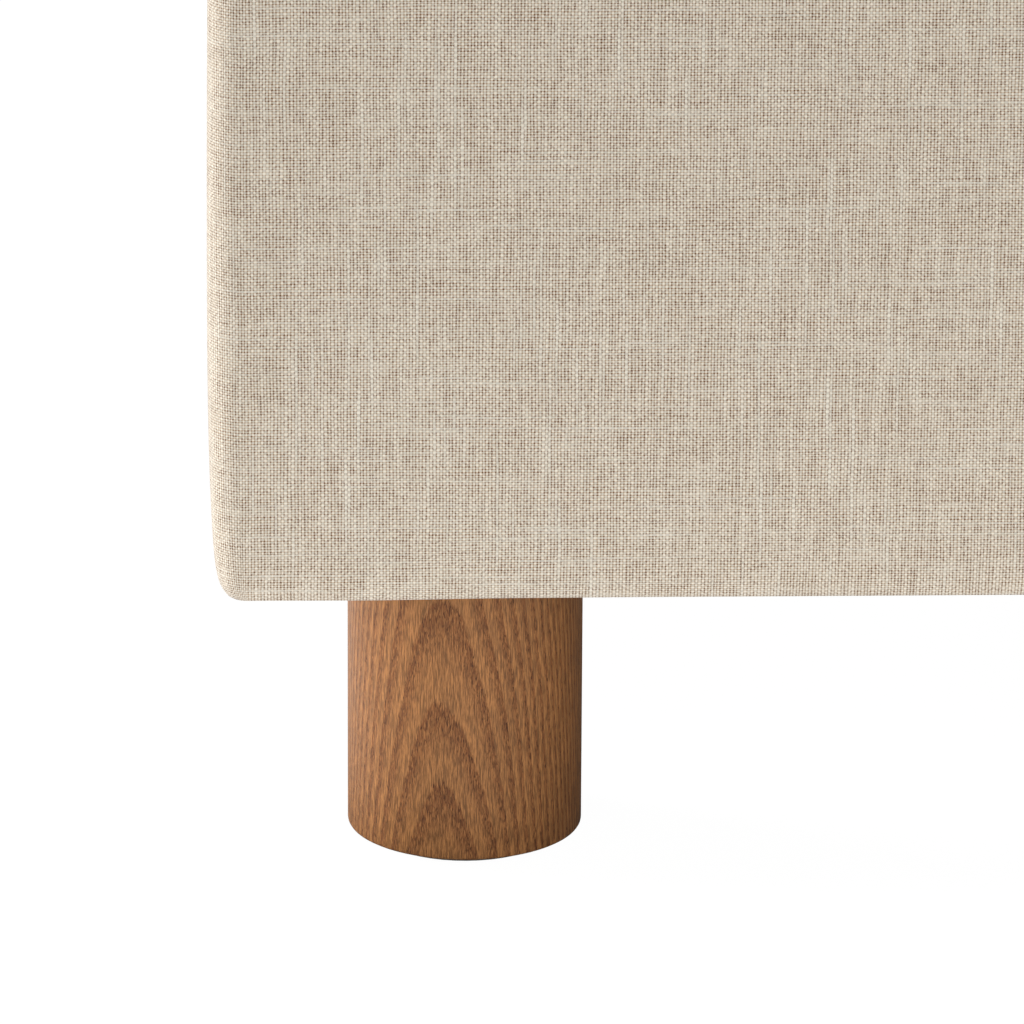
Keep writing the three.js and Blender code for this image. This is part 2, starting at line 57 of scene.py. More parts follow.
# ---- shader arithmetic ----
class Signal:
    """One output in a node tree. Arithmetic on it adds the nodes that work it out."""

    def __init__(self, socket):
        self.socket = socket
        self.tree = socket.id_data

    def math(self, operation, *operands):
        return compute(self.tree, operation, self, *operands)

    def __add__(self, other):
        return self.math("ADD", other)

    def __sub__(self, other):
        return self.math("SUBTRACT", other)

    def __rsub__(self, other):
        return compute(self.tree, "SUBTRACT", other, self)

    def __mul__(self, other):
        return self.math("MULTIPLY", other)

    def __truediv__(self, other):
        return self.math("DIVIDE", other)

    __radd__ = __add__
    __rmul__ = __mul__

    def step(self, low, high):
        """0 below low, 1 above high, smooth between."""
        node = self.tree.nodes.new("ShaderNodeMapRange")
        node.interpolation_type = "SMOOTHSTEP"
        plug(self, node.inputs["Value"])
        plug(low, node.inputs["From Min"])
        plug(high, node.inputs["From Max"])
        return Signal(node.outputs["Result"])

    def ramp(self, *stops):
        """A colour from (place, colour) stops."""
        node = self.tree.nodes.new("ShaderNodeValToRGB")
        elements = node.color_ramp.elements
        while len(elements) < len(stops):
            elements.new(1)
        for element, (place, colour) in zip(elements, stops):
            element.position = place
            element.color = (*colour, 1)
        plug(self, node.inputs["Fac"])
        return Signal(node.outputs["Color"])

    def scaled(self, factor):
        """This colour or vector times a number."""
        node = self.tree.nodes.new("ShaderNodeVectorMath")
        node.operation = "SCALE"
        plug(self, node.inputs[0])
        plug(factor, node.inputs["Scale"])
        return Signal(node.outputs[0])

    def blended(self, other, share):
        """This colour with a share of another mixed in."""
        node = self.tree.nodes.new("ShaderNodeMix")
        node.data_type = "RGBA"
        factor, first, second = node.inputs[0], node.inputs[6], node.inputs[7]
        plug(share, factor)
        plug(self, first)
        plug(other, second)
        return Signal(node.outputs[2])

    def axes(self):
        node = self.tree.nodes.new("ShaderNodeSeparateXYZ")
        plug(self, node.inputs[0])
        return [Signal(output) for output in node.outputs]


def plug(value, socket):
    if isinstance(value, Signal):
        value.tree.links.new(value.socket, socket)
    elif isinstance(value, tuple) and len(socket.default_value) == 4:
        socket.default_value = (*value, 1)
    else:
        socket.default_value = value


def compute(tree, operation, *operands):
    node = tree.nodes.new("ShaderNodeMath")
    node.operation = operation
    for value, socket in zip(operands, node.inputs):
        plug(value, socket)
    return Signal(node.outputs[0])


def point(x, y, z=0.0):
    tree = next(part.tree for part in (x, y, z) if isinstance(part, Signal))
    node = tree.nodes.new("ShaderNodeCombineXYZ")
    for value, socket in zip((x, y, z), node.inputs):
        plug(value, socket)
    return Signal(node.outputs[0])


def cloudy(place, detail=0.0):
    """Smooth noise from 0 to 1, about one feature a unit."""
    node = place.tree.nodes.new("ShaderNodeTexNoise")
    node.inputs["Scale"].default_value = 1
    node.inputs["Detail"].default_value = detail
    plug(place, node.inputs["Vector"])
    return Signal(node.outputs["Fac"])


def cells(place):
    """The distance to the nearest of about one random point a unit."""
    node = place.tree.nodes.new("ShaderNodeTexVoronoi")
    node.inputs["Scale"].default_value = 1
    plug(place, node.inputs["Vector"])
    return Signal(node.outputs["Distance"])


class Finish:
    """A material under construction, round one Principled shader."""

    def __init__(self, name, colour, **settings):
        self.material = bpy.data.materials.new(name)
        self.material.use_nodes = True
        self.material.diffuse_color = (*colour, 1)
        self.tree = self.material.node_tree
        self.shader = self.tree.nodes["Principled BSDF"]
        self.shader.inputs["Base Color"].default_value = (*colour, 1)
        for socket, value in settings.items():
            self.shader.inputs[socket.replace("_", " ")].default_value = value

    def source(self, kind, output, **settings):
        node = self.tree.nodes.new(kind)
        for key, value in settings.items():
            setattr(node, key, value)
        return Signal(node.outputs[output])

    def where(self):
        """The place on the piece, in mm."""
        return self.source("ShaderNodeTexCoord", "Object").scaled(1 / MM)

    def colour(self, signal):
        plug(signal, self.shader.inputs["Base Color"])

    def roughness(self, signal):
        plug(signal, self.shader.inputs["Roughness"])

    def relief(self, height, depth):
        """Bumps from a height signal, depth mm for one unit."""
        node = self.tree.nodes.new("ShaderNodeBump")
        node.inputs["Distance"].default_value = depth * MM
        plug(height, node.inputs["Height"])
        self.tree.links.new(node.outputs["Normal"], self.shader.inputs["Normal"])


# ---- cloth ----
CLOTH_MAP = "Cloth"  # a UV map in metres along the cloth


def yarns(place, number, crossing, half_width, turn):
    """The yarns of one direction: how they bulge, 1 on a yarn's middle line, and how high they lie.
    They go over and under by turn, 1 or -1, as the place crosses the other direction's yarns."""
    from_middle = (place - number - 0.5) / half_width
    bulge = (1 - from_middle * from_middle).math("MAXIMUM", 0).math("SQRT")
    wave = (crossing * math.pi).math("SINE") * (number * math.pi).math("COSINE")
    beside = bulge.math("LESS_THAN", 0.02)
    return bulge, wave * (0.5 * turn) + bulge * 0.5 - beside


def spacing(place, run):
    """How far yarns lie from an even spacing. They stay straight for a long run."""
    crowding = cloudy(point(place / 9, run / 220)) - 0.5
    return crowding * 0.9 + (cloudy(point(place * 0.7, run / 30)) - 0.5) * 0.35


def thick_and_thin(number, run):
    """A yarn's thickness along its run, and where it is a slub, both from 0 to 1."""
    thickness = cloudy(point(number * 3.713, run / 26), detail=3).step(0.30, 0.70)
    slub = cloudy(point(number * 2.377, run / 60, 7.5), detail=1).step(0.61, 0.70)
    return thickness, slub


def woven(name, pitch, palette, openness=1.0, depth=0.14, **settings):
    """Cloth of a plain weave. pitch is a yarn's spacing across and along in mm, and the palette is
    the painted shadow in a gap, the painted shade where a yarn dips, the colour of a yarn, and of a
    thick yarn's top. A yarn's number times an odd factor gives each yarn a noise of its own."""
    gap_shadow_colour, dip_shade_colour, yarn_colour, slub_colour = palette
    cloth = Finish(name, yarn_colour, Roughness=0.9, Specular_IOR_Level=0.2, **settings)
    across, along, _ = cloth.source("ShaderNodeUVMap", "UV", uv_map=CLOTH_MAP).axes()
    across = across / (pitch[0] * MM)
    along = along / (pitch[1] * MM)

    drift = (cloudy(point(across / 17, along / 17)) - 0.5) * 0.4
    across = across + drift + spacing(across, along)
    along = along - drift + spacing(along, across)
    warp = across.math("FLOOR")
    weft = along.math("FLOOR")
    warp_thickness, warp_slub = thick_and_thin(warp, along)
    weft_thickness, weft_slub = thick_and_thin(weft + 50, across)

    # Some holes between four yarns are open, by chance and a little more along some runs. The
    # yarns are narrower beside an open hole.
    warp_gap = (across + 0.5).math("FLOOR")
    weft_gap = (along + 0.5).math("FLOOR")
    open_runs = cloudy(point(across / 12, weft_gap * 5.17))
    open_runs = open_runs + cloudy(point(warp_gap * 7.31, along / 12))
    one_hole = cloudy(point(warp_gap * 3.71, weft_gap * 4.39, 2.5))
    open_hole = (open_runs * 0.3 + one_hole * 1.5).step(0.88, 1.30)
    half_width = 0.44 - (open_hole * 0.10 + 0.05) * openness
    warp_half = half_width + warp_thickness * (openness * 0.10)
    weft_half = half_width + weft_thickness * (openness * 0.10)
    warp_bulge, warp_height = yarns(across, warp, along, warp_half, 1)
    weft_bulge, weft_height = yarns(along, weft, across, weft_half, -1)

    height = warp_height.math("MAXIMUM", weft_height).math("MAXIMUM", -0.3)
    warp_shows = warp_height.math("GREATER_THAN", weft_height)
    thickness = weft_thickness + (warp_thickness - weft_thickness) * warp_shows
    slub = weft_slub + (warp_slub - weft_slub) * warp_shows
    gap = 1 - warp_bulge.math("MAXIMUM", weft_bulge).step(0.05, 0.8)
    float_shade = cloudy(point(warp * 5.71, weft * 6.37), detail=1)
    # Painted shade: the colour darkens from a yarn's top down to where it dips under the other
    # yarns.
    colour = height.ramp((0.05, dip_shade_colour), (0.45, yarn_colour), (0.85, slub_colour))
    colour = colour.blended(slub_colour, thickness.step(0.5, 1.0) * 0.25 + slub * 0.6)
    colour = colour.scaled(0.84 + warp_shows * 0.20)
    # Painted shadow in the gaps between yarns, darkest in an open hole.
    colour = colour.blended(gap_shadow_colour, gap * (open_hole * 0.9 + 0.10) * (1 - slub * 0.6))
    cloth.colour(colour.scaled(0.80 + thickness * 0.08 + float_shade * 0.22))
    cloth.relief(height + thickness * 0.3, depth)
    return cloth.material


LINEN = woven(
    "oatmeal_linen",
    pitch=(0.948, 0.803),
    # The first two colours are painted: the shadow in a gap and the shade where a yarn dips.
    palette=((0.13, 0.048, 0.016), (0.30, 0.17, 0.085), (0.60, 0.452, 0.31), (0.83, 0.77, 0.665)),
    Sheen_Weight=0.3,
    Sheen_Roughness=0.4,
)
LINING = woven(
    "grey_beige_lining",
    pitch=(0.5, 0.5),
    # The first two colours are painted: the shadow in a gap and the shade where a yarn dips.
    palette=((0.14, 0.125, 0.10), (0.28, 0.25, 0.205), (0.42, 0.385, 0.32), (0.50, 0.46, 0.39)),
    openness=0.6,
    depth=0.08,
    Sheen_Weight=0.2,
)


def spunbond():
    """The black non-woven dust cover: short bonded fibres, pressed in a grid of small ovals."""
    cloth = Finish("black_spunbond", (0.022, 0.022, 0.023), Roughness=0.8, Sheen_Weight=0.3)
    x, y, _ = cloth.where().axes()
    ovals = (x * (math.pi / 1.1)).math("COSINE") * (y * (math.pi / 1.6)).math("COSINE")
    pressed = ovals.math("ABSOLUTE").step(0.55, 0.8)
    fibres = cloudy(point(x * 2.2, y * 2.2), detail=3)
    cloth.colour(fibres.ramp((0.3, (0.012, 0.012, 0.013)), (0.75, (0.045, 0.045, 0.047))))
    cloth.relief(fibres * 0.5 - pressed, 0.12)
    return cloth.material


def felt():
    cloth = Finish("grey_felt", (0.13, 0.12, 0.11), Roughness=1.0, Sheen_Weight=0.5)
    fibres = cloudy(cloth.where().scaled(2.5), detail=4)
    cloth.colour(fibres.ramp((0.3, (0.08, 0.075, 0.07)), (0.7, (0.19, 0.18, 0.165))))
    cloth.relief(fibres, 0.5)
    return cloth.material


def foam():
    filling = Finish("cream_foam", (0.80, 0.74, 0.56), Roughness=0.95)
    pores = cells(filling.where().scaled(1.4))
    # Painted shade: the foam darkens towards the middle of each pore, where its relief sinks.
    filling.colour(pores.ramp((0.1, (0.62, 0.54, 0.36)), (0.5, (0.84, 0.78, 0.60))))
    filling.relief(pores, 0.4)
    return filling.material


# ---- wood ----
GRAIN = "grain"  # an attribute: the place in the log in mm, with the pith along Z


def ring_wood(name, light, dark, ring_width, from_attribute=False, **settings):
    """Ring-porous wood. Each ring starts with dark, porous early wood and lightens outwards."""
    wood = Finish(name, light, **settings)
    if from_attribute:
        place = wood.source("ShaderNodeAttribute", "Vector", attribute_name=GRAIN)
    else:
        place = wood.where()
    x, y, z = place.axes()
    from_pith = (x * x + y * y).math("SQRT")
    sway = cloudy(point(x / 24, y / 24, z / 60), detail=1) - 0.5
    ragged = cloudy(point(x * 1.8, y * 1.8, z / 7), detail=3) - 0.5
    ring = (from_pith + sway * 1.5 + ragged * 0.55) / ring_width
    age = ring.math("FRACT")
    early = (1 - age.step(0.12, 0.75)) * age.step(0.0, 0.05)
    fibres = cloudy(point(x * 3.6, y * 3.6, z / 7), detail=3).step(0.36, 0.64)
    dashes = cloudy(point(x * 3.4, y * 3.4, z / 2.4), detail=1).step(0.38, 0.58)
    vessels = cloudy(point(x * 4.5, y * 4.5, z / 1.8), detail=1).step(0.54, 0.64)
    broad = cloudy(point(x / 10, y / 10, z / 60), detail=1)
    colour = fibres.ramp((0.0, tuple(0.42 * c for c in light)), (1.0, light))
    colour = colour.blended(dark, early * (dashes * 0.55 + 0.22))
    colour = colour.blended(tuple(0.3 * c for c in dark), vessels * (early * 0.65 + 0.20))
    wood.colour(colour.scaled(0.98 + broad * 0.24))
    wood.roughness(0.42 + early * 0.1 + fibres * 0.08)
    wood.relief(fibres * 0.3 - vessels - early * 0.2, 0.05)
    return wood.material


ASH = ring_wood(
    "stained_ash",
    light=(0.455, 0.197, 0.065),
    dark=(0.165, 0.052, 0.015),
    ring_width=1.62,
    from_attribute=True,
    Specular_IOR_Level=0.28,
)
PINE = ring_wood("pine_wood", light=(0.72, 0.52, 0.28), dark=(0.50, 0.28, 0.10), ring_width=3.4)


def plywood():
    """Birch plywood: rotary-cut faces, and plies on the edges."""
    board = Finish("birch_plywood", (0.62, 0.42, 0.22))
    x, y, z = board.where().axes()
    figure = cloudy(point(x / 60, y / 9, z / 9), detail=3)
    plies = ((x + y + z) * (math.pi / 1.5)).math("SINE").step(-0.2, 0.2)
    colour = figure.ramp((0.3, (0.50, 0.31, 0.14)), (0.7, (0.70, 0.50, 0.28)))
    board.colour(colour.scaled(0.86 + plies * 0.12))
    board.roughness(0.5 + figure * 0.2)
    board.relief(figure, 0.1)
    return board.material


# ---- metal, plastic, rubber ----
def metal(name, colour, roughness, grain, depth, stretch=1.0):
    """Metal with a fine surface texture, grain features a mm, drawn out along X by stretch."""
    finish = Finish(name, colour, Metallic=1.0)
    x, y, z = finish.where().scaled(grain).axes()
    texture = cloudy(point(x / stretch, y, z), detail=3)
    smudges = cloudy(point(x / 30, y / 30, z / 30), detail=1)
    finish.roughness(roughness + texture * 0.15 + smudges * 0.12)
    finish.relief(texture, depth)
    return finish.material


def moulded(name, colour, roughness, grain, depth):
    """Paint, plastic or rubber with a fine uneven surface."""
    finish = Finish(name, colour)
    texture = cloudy(finish.where().scaled(grain), detail=2)
    finish.colour(texture.ramp((0.25, tuple(0.8 * c for c in colour)), (0.75, colour)))
    finish.roughness(roughness + texture * 0.15)
    finish.relief(texture, depth)
    return finish.material


ZINC = metal("zinc_plate", (0.62, 0.63, 0.65), roughness=0.2, grain=1.5, depth=0.02, stretch=6)
CHROME = metal("hard_chrome", (0.80, 0.81, 0.83), roughness=0.02, grain=6, depth=0.002)
STAPLE_WIRE = metal("staple_wire", (0.60, 0.59, 0.56), roughness=0.25, grain=4, depth=0.01)
POWDER_COAT = moulded("black_powder_coat", (0.024, 0.024, 0.026), 0.28, grain=1.6, depth=0.03)
NYLON = moulded("black_nylon", (0.03, 0.03, 0.032), 0.45, grain=3, depth=0.01)
RUBBER = moulded("grey_rubber", (0.06, 0.06, 0.06), 0.7, grain=2, depth=0.02)
THREAD = moulded("beige_thread", (0.42, 0.38, 0.31), 0.8, grain=5, depth=0.05)
SPUNBOND = spunbond()
FELT = felt()
FOAM = foam()
PLYWOOD = plywood()

NODE_FINISHES = {
    "plywood": PLYWOOD,
    "pine": PINE,
    "felt": FELT,
    "zinc_steel": ZINC,
    "black_steel": POWDER_COAT,
    "chromed_rod": CHROME,
    "black_nylon": NYLON,
    "bumper_rubber": RUBBER,
}


# ---- mesh making ----
def finished(name, mesh, material, sharp=40):
    """An object from a mesh, shaded smooth but for edges of more than sharp degrees."""
    mesh.name = name
    mesh.shade_smooth()
    mesh.set_sharp_from_angle(angle=math.radians(sharp))
    mesh.materials.append(material)
    made = bpy.data.objects.new(name, mesh)
    bpy.context.scene.collection.objects.link(made)
    return made


def editable(mesh):
    form = bmesh.new()
    form.from_mesh(mesh)
    return form


def weld(form, mesh):
    """Writes a form to a mesh, its doubled points joined and its faces turned outwards."""
    bmesh.ops.remove_doubles(form, verts=form.verts, dist=1e-7)
    bmesh.ops.recalc_face_normals(form, faces=form.faces)
    form.to_mesh(mesh)
    form.free()


def from_bmesh(name, form, material, **options):
    mesh = bpy.data.meshes.new(name)
    weld(form, mesh)
    return finished(name, mesh, material, **options)


def install(piece, body, slot, *nodes):
    """The piece rides on the body, and stands for the CAD nodes."""
    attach(piece, body)
    if nodes:
        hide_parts(*nodes)


def graded(length, fine, coarse, growth=1.3):
    """Distances from 0 to length, in steps that grow from fine to coarse."""
    distances = [0.0]
    step = fine
    while distances[-1] < length:
        distances.append(distances[-1] + step)
        step = min(step * growth, coarse)
    return [distance * length / distances[-1] for distance in distances]


def graded_both_ways(length, fine, coarse):
    half = graded(length / 2, fine, coarse)
    return half + [length - distance for distance in reversed(half[:-1])]


def smooth(value, low, high):
    t = min(max((value - low) / (high - low), 0), 1)
    return t * t * (3 - 2 * t)


def ripple(place, size, seed=0.0):
    """A slow unevenness from about -1 to 1, with features of about the given size."""
    return noise.noise(Vector(place) / size + Vector((seed, seed * 1.7, seed * 0.3)))


def lengths_along(line):
    """The distance from the line's first point to each of its points."""
    distances = [0.0]
    for before, after in zip(line, line[1:]):
        distances.append(distances[-1] + math.dist(before, after))
    return distances


def grid_faces(rows, columns, wrapped):
    """For each face of a grid, its corners as (column, row). A wrapped grid's last column joins its
    first, which is then also numbered columns."""
    return [
        ((column, row), (column + 1, row), (column + 1, row + 1), (column, row + 1))
        for row in range(rows - 1)
        for column in range(columns if wrapped else columns - 1)
    ]


def cloth_grid(name, rows, across, along, material, wrapped=False, keep=None):
    """A sheet from rows of points. Its cloth map has across a value a column, and one more where
    the grid is wrapped, and along a value a row. keep says of a face's middle whether it stays."""
    width = len(rows[0])
    points = [Vector(place) for row in rows for place in row]
    faces = []
    cloth_places = []
    for corners in grid_faces(len(rows), width, wrapped):
        face = [row * width + column % width for column, row in corners]
        if keep is None or keep(sum((points[index] for index in face), Vector()) / 4):
            faces.append(face)
            cloth_places += [value for c, r in corners for value in (across[c], along[r])]
    mesh = bpy.data.meshes.new(name)
    mesh.from_pydata(points, [], faces)
    mesh.uv_layers.new(name=CLOTH_MAP).uv.foreach_set("vector", cloth_places)
    return finished(name, mesh, material, sharp=75)


def thickened(piece, thickness):
    """Makes a sheet a closed skin, thickness metres behind its surface."""
    solidify = piece.modifiers.new("thickness", "SOLIDIFY")
    solidify.thickness = thickness
    solidify.offset = -1


def turned(form, profile, place, segments):
    """Adds a turned solid about place's Z. The profile's points are (radius, z) from axis to axis,
    and a radius may be a function of the angle."""
    rings = []
    for radius, z in profile:
        ring = []
        for step in range(segments):
            angle = 2 * math.pi * step / segments
            reach = radius(angle) if callable(radius) else radius
            spot = Vector((reach * math.cos(angle), reach * math.sin(angle), z))
            ring.append(form.verts.new(place @ spot))
        rings.append(ring)
    for low, high in zip(rings, rings[1:]):
        for step in range(segments):
            turn = (step + 1) % segments
            form.faces.new((low[step], low[turn], high[turn], high[step]))


def fillet(profile, radius, steps=4):
    """The polyline with its inner corners rounded, by less where a side is short."""
    line = [Vector(corner) for corner in profile]
    rounded = [tuple(line[0])]
    for before, corner, after in zip(line, line[1:], line[2:]):
        cut = min(radius, (before - corner).length * 0.45, (after - corner).length * 0.45)
        start = corner + (before - corner).normalized() * cut
        end = corner + (after - corner).normalized() * cut
        for step in range(steps + 1):
            t = step / steps
            rounded.append(tuple(start * (1 - t) ** 2 + corner * (2 * t * (1 - t)) + end * t**2))
    return [*rounded, tuple(line[-1])]


PLATE_EASE = 0.15 * MM  # the rounding of a plate's edges


def add_plate(form, outline, z0, z1, holes=(), hole_radius=0.0):
    """Adds a plate from z0 to z1 with eased edges, drilled through."""
    curve = bpy.data.curves.new("plate", "CURVE")
    curve.dimensions = "2D"
    curve.fill_mode = "BOTH"
    curve.extrude = (z1 - z0) / 2 - PLATE_EASE
    curve.bevel_depth = PLATE_EASE
    curve.offset = -PLATE_EASE
    turns = [step * math.pi / 16 for step in reversed(range(32))]
    circle = [(hole_radius * math.cos(turn), hole_radius * math.sin(turn)) for turn in turns]
    drilled = [[(x + dx, y + dy) for dx, dy in circle] for x, y in holes]
    for line in (outline, *drilled):
        spline = curve.splines.new("POLY")
        spline.points.add(len(line) - 1)
        for spot, (x, y) in zip(spline.points, line):
            spot.co = (x, y, (z0 + z1) / 2, 1)
        spline.use_cyclic_u = True
    scaffold = bpy.data.objects.new("plate", curve)
    form.from_mesh(bpy.data.meshes.new_from_object(scaffold))
    bpy.data.objects.remove(scaffold)


def rounded_outline(x0, x1, y0, y1, radius):
    """A rounded rectangle, counter-clockwise."""
    line = []
    for quadrant, (x, y) in enumerate(((x1, y1), (x0, y1), (x0, y0), (x1, y0))):
        centre_x = x - math.copysign(radius, x - (x0 + x1) / 2)
        centre_y = y - math.copysign(radius, y - (y0 + y1) / 2)
        for step in range(7):
            angle = (quadrant + step / 6) * math.pi / 2
            line.append((centre_x + radius * math.cos(angle), centre_y + radius * math.sin(angle)))
    return line


def cut_outline(half_x, half_y, cut):
    """A rectangle about the origin with its corners cut off, counter-clockwise."""
    return [
        (sign_x * (half_x - cut_x), sign_y * (half_y - cut_y))
        for sign_x, sign_y in ((1, 1), (-1, 1), (-1, -1), (1, -1))
        for cut_x, cut_y in ((0, cut), (cut, 0))[:: sign_x * sign_y]
    ]


# ---- the padded box ----
Station = namedtuple("Station", "along_x along_y out_x out_y reach distance")


class Wrap:
    """A rounded rectangle that cloth goes round, with stations counter-clockwise from the middle of
    its back. A station keeps its share of the straight sides' half lengths, its outward direction,
    its distance to the nearest corner, and its distance along the line."""

    CORNER_STEPS = 9

    def __init__(self, half_x, half_y, centre_y, radius):
        self.half_x = half_x
        self.half_y = half_y
        self.centre_y = centre_y
        self.radius = radius
        self.stations = []
        straight = (half_x - radius, half_y - radius)
        stops = ((0, 1), (-1, 1), (-1, -1), (1, -1), (1, 1), (0, 1))
        travelled = 0.0
        for number, (start, end) in enumerate(zip(stops, stops[1:])):
            out = (number + 1) * math.pi / 2
            length = math.dist(*([s * h for s, h in zip(stop, straight)] for stop in (start, end)))
            for distance in graded_both_ways(length, fine=1.2 * MM, coarse=13 * MM):
                share = distance / length
                ends = [distance] * (number > 0) + [length - distance] * (number < 4)
                self.add(start, end, share, out, min(ends), travelled + distance)
            travelled += length
            if number == 4:
                break
            for step in range(1, self.CORNER_STEPS):
                turn = step / self.CORNER_STEPS * math.pi / 2
                self.add(end, end, 0, out + turn, 0.0, travelled + turn * radius)
            travelled += radius * math.pi / 2
        self.stations.pop()  # it is the first one again
        self.length = travelled

    def add(self, start, end, share, out, reach, distance):
        along = [a + (b - a) * share for a, b in zip(start, end)]
        self.stations.append(Station(*along, math.cos(out), math.sin(out), reach, distance))

    def place(self, station, inset, z):
        corner = max(self.radius - inset, 2 * MM)
        x = station.along_x * (self.half_x - inset - corner) + station.out_x * corner
        y = station.along_y * (self.half_y - inset - corner) + station.out_y * corner
        return (x, self.centre_y + y, z)

    @property
    def distances(self):
        return [*(station.distance for station in self.stations), self.length]


box_low, box_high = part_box("body_cover")
CENTRE_Y = (box_low.y + box_high.y) / 2
UNDERSIDE = box_low.z
RIM = box_high.z
COVER_THICKNESS = 1.3 * MM
UNDER_COVER = COVER_THICKNESS + 0.3 * MM  # from the cover's face to the foam
BOX_WRAP = Wrap(box_high.x, (box_high.y - box_low.y) / 2, CENTRE_Y, radius=12 * MM)


def face_inset(station, z):
    """How far the padded face stands in from the box's full size: it rolls in at the rim and more
    at the lower edge, sinks a little beside the corners, and is nowhere quite flat."""
    up = (z - UNDERSIDE) / MM
    down = (RIM - z) / MM
    reach = station.reach / MM
    low = 4.6 * math.exp(-up / 3) + 3.6 * math.exp(-up / 30.6) + 4 * max(1 - up / 1.6, 0) ** 3
    taper = 0.008 * up
    rim = 4.0 * math.exp(-down / 2.5) + 1.6 * math.exp(-down / 25) + 3 * max(1 - down / 1.5, 0) ** 3
    middle = smooth(reach, 5, 60)
    sink = 0.6 * (1 - math.exp(-reach / 10)) * math.exp(-reach / 120) * smooth(up, 0, 25)
    place = BOX_WRAP.place(station, 0, z)
    uneven = (0.22 * ripple(place, 0.09) + 0.1 * ripple(place, 0.03, 5)) * smooth(reach, 0, 20)
    from_seam = min(station.distance, BOX_WRAP.length - station.distance) / MM
    seam = 0.9 * math.exp(-((from_seam / 1.3) ** 2))
    return (low * (1 - 0.15 * middle) + taper + rim + sink + uneven + seam) * MM


def drooped(station, z, inset=0.0):
    """The lower edge hangs a little at the corners, where the cloth is folded round and under."""
    near_edge = math.exp(-(z - UNDERSIDE) / (9 * MM)) * (1 - smooth(inset, 9 * MM, 26 * MM))
    return z - 0.9 * MM * near_edge * (1 - smooth(station.reach, 15 * MM, 80 * MM))


# The cover's turned-in edges, in mm: its hem inside as (inset, height over the rim), and the insets
# of its points under the box.
INSIDE_HEM = [(28.7, -25), (28.7, -18), (28.7, -11), (28.7, -4), (28.4, -1.6), (27.3, -0.4)]
INSIDE_HEM += [(25.5, 0), (21, 0), (16, 0), (11.5, 0)]
UNDER_HEM = (16, 22, 30, 38, 44, 45)


def cover_column(station):
    """The cover's line at a station: from its hem inside over the rim, down the face and under."""
    column = [BOX_WRAP.place(station, inset * MM, RIM + up * MM) for inset, up in INSIDE_HEM]
    for distance in graded_both_ways(RIM - UNDERSIDE, fine=0.4 * MM, coarse=11 * MM):
        z = RIM - distance
        column.append(BOX_WRAP.place(station, face_inset(station, z), drooped(station, z)))
    for inset in (inset * MM for inset in UNDER_HEM):
        column.append(BOX_WRAP.place(station, inset, drooped(station, UNDERSIDE, inset)))
    return column


PLAIN_COLUMN = 20  # clear of seam and corners: the cloth's height is measured on it


def wrapped_sheet(name, columns, across, material):
    """A sheet that goes round and joins itself, from columns of points."""
    along = lengths_along(columns[PLAIN_COLUMN])
    return cloth_grid(name, list(zip(*columns)), across, along, material, wrapped=True)


cover_columns = [cover_column(station) for station in BOX_WRAP.stations]
box_cover = wrapped_sheet("linen_box_cover", cover_columns, BOX_WRAP.distances, LINEN)
box_cover.data.flip_normals()
thickened(box_cover, COVER_THICKNESS)
install(box_cover, "base", "linen_upholstery", "body_cover")


def padding_column(station):
    """The foam's section at a station: up behind the cover, and back down its panel."""
    bottom = UNDERSIDE + 4 * MM
    height = RIM - 2.2 * MM - bottom
    panel = 11.6 * MM
    outside = [bottom + d for d in graded_both_ways(height, fine=2 * MM, coarse=14 * MM)]
    inside = (outside[-1], outside[len(outside) // 2], bottom)
    column = [BOX_WRAP.place(station, face_inset(station, z) + UNDER_COVER, z) for z in outside]
    column += [BOX_WRAP.place(station, panel, z) for z in inside]
    return [*column, column[0]]


padding_columns = [padding_column(station) for station in BOX_WRAP.stations]
padding = wrapped_sheet("box_padding", padding_columns, BOX_WRAP.distances, FOAM)
weld(editable(padding.data), padding.data)
install(padding, "base", "foam", "front_foam", "back_foam", "left_foam", "right_foam")


# ---- the legs ----
LEG_RADIUS = 35 * MM
# For each leg, in mm and degrees: how far behind its axis the pith is, how the blank was turned
# before it was cut, and how far down the log it comes from.
BLANKS = {
    "front_left": (84.88, 0, 0),
    "front_right": (61, 205, 340),
    "back_left": (74, 118, 710),
    "back_right": (95, 290, 1130),
}
PITH_TILT = 0.055
PITH_DIRECTION = Vector((0.225, 0.974))
ARCH_HEIGHT = 56.6  # where the front left leg's upper arch has its top


def grain_place(co, centre, blank):
    """Where in the log a point of a leg is, in mm. The pith runs past the leg at a slight tilt."""
    distance, turn, down_log = blank
    across = Matrix.Rotation(math.radians(turn), 2) @ ((co.xy - centre) / MM)
    height = co.z / MM
    pith = PITH_DIRECTION * (distance + PITH_TILT * (ARCH_HEIGHT - height))
    return (*(across - pith), height - down_log)


for end, side in CORNERS:
    low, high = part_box(f"{end}_{side}_leg")
    centre = middle_of(f"{end}_{side}_leg").xy
    corners = [(0, low.z), (LEG_RADIUS, low.z), (LEG_RADIUS, high.z), (0, high.z)]
    bottom, *rounding, top = fillet(corners, 1.2 * MM)
    heights = [low.z + (high.z - low.z) * share for share in (0.2, 0.4, 0.6, 0.8)]
    middle = len(rounding) // 2
    rounding[middle:middle] = [(LEG_RADIUS, z) for z in heights]
    profile = [bottom, (LEG_RADIUS / 2, low.z), *rounding, (LEG_RADIUS / 2, high.z), top]
    form = bmesh.new()
    turned(form, profile, Matrix.Translation((*centre, 0)), segments=128)
    leg = from_bmesh(f"{end}_{side}_ash_leg", form, ASH)
    grain = leg.data.attributes.new(GRAIN, "FLOAT_VECTOR", "POINT")
    blank = BLANKS[f"{end}_{side}"]
    for vertex in leg.data.vertices:
        grain.data[vertex.index].vector = grain_place(vertex.co, centre, blank)
    install(leg, "base", "stained_ash", f"{end}_{side}_leg")


